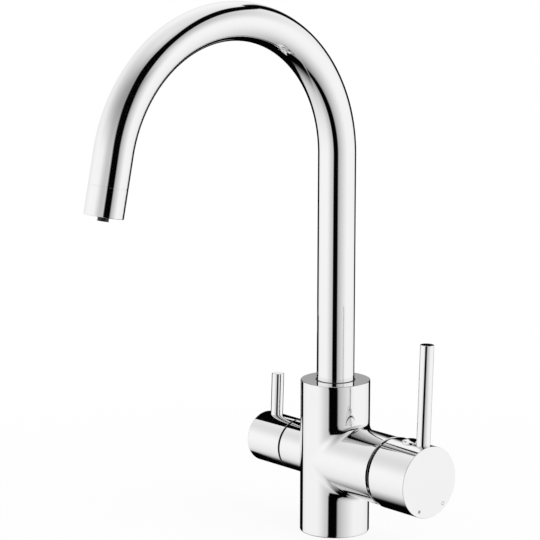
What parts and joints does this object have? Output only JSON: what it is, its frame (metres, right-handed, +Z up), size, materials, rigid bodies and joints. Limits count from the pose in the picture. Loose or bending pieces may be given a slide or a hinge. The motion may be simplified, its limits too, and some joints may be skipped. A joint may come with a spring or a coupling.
{
  "type": "three way filtered water tap",
  "caption": "Swan-neck kitchen tap with a single-lever hot and cold mixer on one side and a quarter-turn filtered water handle on the other.",
  "frame": {"origin": "centre of the round foot, on the deck", "axes": "+Z up the column, +X along the mixer branch, -X along the filter branch, -Y the way the spout reaches at rest"},
  "size_m": [0.1721, 0.2464, 0.3881],
  "materials": {
    "chrome_plate": "polished chrome plate",
    "brass": "machined",
    "steel": "machined",
    "rubber_seal": "moulded",
    "ceramic": "lapped",
    "cartridge_plastic": "moulded",
    "dark_plastic": "moulded",
    "tube_plastic": "extruded"
  },
  "bodies": {
    "tap_body": {"body_casting": "chrome_plate", "base_seal": "rubber_seal", "spout_glide_ring": "dark_plastic", "spout_thrust_washer": "cartridge_plastic", "inner_tube_oring": "rubber_seal", "spout_retaining_screw": "steel", "cartridge_base": "cartridge_plastic", "cartridge_port_seals": "rubber_seal", "fixed_ceramic_disc": "ceramic", "cartridge_housing": "cartridge_plastic", "cartridge_nut": "brass", "dome_cover": "chrome_plate", "filter_valve_body": "brass", "filter_seat_seal": "rubber_seal", "filter_valve_oring": "rubber_seal", "filter_fixed_disc": "ceramic"},
    "spout": {"spout_tube": "chrome_plate", "spout_foot": "brass", "spout_orings": "rubber_seal", "inner_water_tube": "tube_plastic", "spout_end_ring": "chrome_plate", "aerator_cup": "dark_plastic", "aerator_screen": "steel", "aerator_seal": "rubber_seal", "nozzle_adapter": "brass", "filtered_water_nozzle": "dark_plastic"},
    "mixer_carrier": {"cartridge_carrier": "cartridge_plastic", "tilt_pin": "steel"},
    "mixer_lever": {"mixer_stem": "steel", "mixer_handle_cap": "chrome_plate", "mixer_lever_pin": "chrome_plate", "mixer_set_screw": "steel", "mixer_screw_plug": "chrome_plate"},
    "mixing_disc": {"moving_ceramic_disc": "ceramic", "disc_driver": "cartridge_plastic"},
    "filter_handle": {"filter_moving_disc": "ceramic", "filter_spindle": "brass", "filter_spindle_orings": "rubber_seal", "filter_spindle_clip": "steel", "filter_knob": "chrome_plate", "filter_lever_pin": "chrome_plate", "filter_set_screw": "steel"}
  },
  "joints": [
    {"name": "spout_swivel", "type": "hinge", "parent": "tap_body", "child": "spout", "pos_m": [0, 0, 0.1], "axis": [0, 0, 1], "range_deg": [-90, 90]},
    {"name": "mixer_turn", "type": "hinge", "parent": "tap_body", "child": "mixer_carrier", "pos_m": [0.0389, 0, 0.055], "axis": [1, 0, 0], "range_deg": [-50, 50]},
    {"name": "lever_tilt", "type": "hinge", "parent": "mixer_carrier", "child": "mixer_lever", "pos_m": [0.0389, 0, 0.055], "axis": [0, 0.9994, -0.0349], "range_deg": [0, 25]},
    {"name": "disc_slide", "type": "slide", "parent": "mixer_carrier", "child": "mixing_disc", "axis": [0, 0.0349, 0.9994], "range_m": [0, 0.004]},
    {"name": "filter_turn", "type": "hinge", "parent": "tap_body", "child": "filter_handle", "pos_m": [-0.06, 0, 0.055], "axis": [1, 0, 0], "range_deg": [0, 90]}
  ],
  "couplings": [
    {"joint": "disc_slide", "follows": "lever_tilt", "m_per_rad": 0.009}
  ]
}
